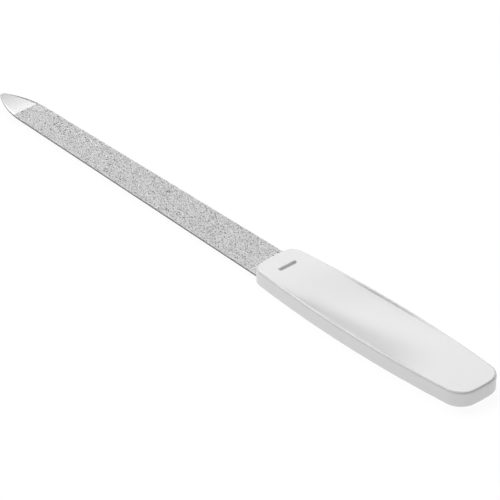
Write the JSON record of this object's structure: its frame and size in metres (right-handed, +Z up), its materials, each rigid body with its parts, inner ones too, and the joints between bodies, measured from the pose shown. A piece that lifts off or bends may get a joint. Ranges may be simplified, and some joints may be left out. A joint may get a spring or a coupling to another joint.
{
  "type": "nail file",
  "caption": "Thin hand file with an almond-pointed steel blade, coarse sparkling grit on both faces and a flat moulded plastic handle with a thumb dish.",
  "frame": {"origin": "under the middle of the file's length and width, on the plane of the handle's underside", "axes": "+X along the file from the tip towards the handle's rear end, +Z up out of the face with the thumb dish"},
  "size_m": [0.15, 0.015, 0.0037],
  "materials": {
    "steel": "polished, lightly plated stamped steel",
    "grit": "coarse, sparkling grey grit bonded to the steel",
    "plastic": "smooth white moulded plastic, softly glossy"
  },
  "bodies": {
    "root": {"blade": "steel", "abrasive_top": "grit", "abrasive_bottom": "grit", "handle": "plastic"}
  },
  "joints": []
}
